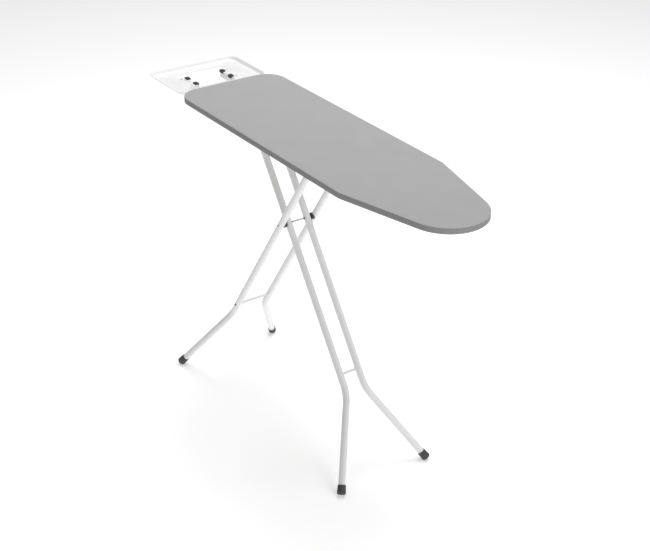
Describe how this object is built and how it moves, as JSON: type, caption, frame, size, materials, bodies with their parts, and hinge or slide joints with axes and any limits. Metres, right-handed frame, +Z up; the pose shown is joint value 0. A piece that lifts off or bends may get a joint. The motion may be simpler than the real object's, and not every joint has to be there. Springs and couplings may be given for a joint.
{
  "type": "ironing board",
  "caption": "Folding ironing board: padded board with tapered round nose, crossing pairs of flared tube legs that fold flat, rubber feet, release lever and a tray for the iron.",
  "frame": {"origin": "on the floor under the middle of the outline (iron rest included)", "axes": "+X towards the nose, +Y to the left, +Z up"},
  "size_m": [1.3, 0.3668, 0.9145],
  "materials": {
    "cover_fabric": "plain grey cotton cover, matt",
    "foam": "thin foam and felt pad",
    "mesh_steel": "expanded steel mesh, powder coated",
    "white_powder_coat": "white powder coat, satin",
    "zinc_steel": "bright zinc plate",
    "foot_rubber": "dark grey rubber",
    "black_silicone": "black silicone",
    "black_plastic": "black moulded plastic",
    "white_nylon": "white nylon"
  },
  "bodies": {
    "board": {"cover": "cover_fabric", "foam_pad": "foam", "mesh_panel": "mesh_steel", "rim_tube": "white_powder_coat", "strap_tail": "white_powder_coat", "strap_hinge": "white_powder_coat", "strap_rack_tail": "white_powder_coat", "strap_lever": "white_powder_coat", "strap_rack_nose": "white_powder_coat", "leg_bracket_left": "white_powder_coat", "leg_bracket_right": "white_powder_coat", "hinge_rod": "zinc_steel", "hinge_rod_caps": "black_plastic", "rack_plate_left": "zinc_steel", "rack_plate_right": "zinc_steel", "rack_stop_tail": "black_plastic", "rack_stop_nose": "black_plastic", "rivets": "zinc_steel", "lever_bracket": "white_powder_coat", "lever_spring": "zinc_steel", "iron_rest_tray": "white_powder_coat", "iron_rest_arm_left": "white_powder_coat", "iron_rest_arm_right": "white_powder_coat", "iron_rest_screws": "zinc_steel", "rest_pad_far_left": "black_silicone", "rest_pad_far_right": "black_silicone", "rest_pad_near_left": "black_silicone", "rest_pad_near_right": "black_silicone"},
    "inner_legs": {"inner_tube_left": "white_powder_coat", "inner_tube_right": "white_powder_coat", "inner_crossbar": "white_powder_coat", "inner_foot_left": "foot_rubber", "inner_foot_right": "foot_rubber", "inner_end_plugs": "black_plastic", "hinge_washers": "white_nylon", "pivot_rod": "zinc_steel", "pivot_cap_nuts": "zinc_steel", "pivot_washers": "black_plastic"},
    "outer_legs": {"outer_tube_left": "white_powder_coat", "outer_tube_right": "white_powder_coat", "outer_crossbar": "white_powder_coat", "crossbar_screws": "black_plastic", "outer_foot_left": "foot_rubber", "outer_foot_right": "foot_rubber", "outer_end_plugs": "black_plastic", "pivot_spacer_left": "black_plastic", "pivot_spacer_right": "black_plastic", "sliding_bar": "zinc_steel", "bar_caps": "black_plastic", "bar_rollers": "white_nylon"},
    "lever": {"lever_shaft": "zinc_steel", "lever_paddle": "white_powder_coat", "lever_grip": "black_plastic", "latch_finger": "zinc_steel"}
  },
  "joints": [
    {"name": "leg_fold", "type": "hinge", "parent": "board", "child": "inner_legs", "pos_m": [-0.253, 0, 0.87], "axis": [0, -1, 0], "range_deg": [0, 50.5]},
    {"name": "leg_cross", "type": "hinge", "parent": "inner_legs", "child": "outer_legs", "pos_m": [-0.07646, 0, 0.6225], "axis": [0, 1, 0], "range_deg": [0, 104.25]},
    {"name": "lever_pull", "type": "hinge", "parent": "board", "child": "lever", "pos_m": [0.15, -0.06, 0.8983], "axis": [0, 1, 0], "range_deg": [0, 12], "stiffness_Nm_per_rad": 0.3, "springref_deg": -17.19}
  ],
  "couplings": [
    {"joint": "leg_cross", "follows": "leg_fold", "ratio": 2.0603}
  ]
}
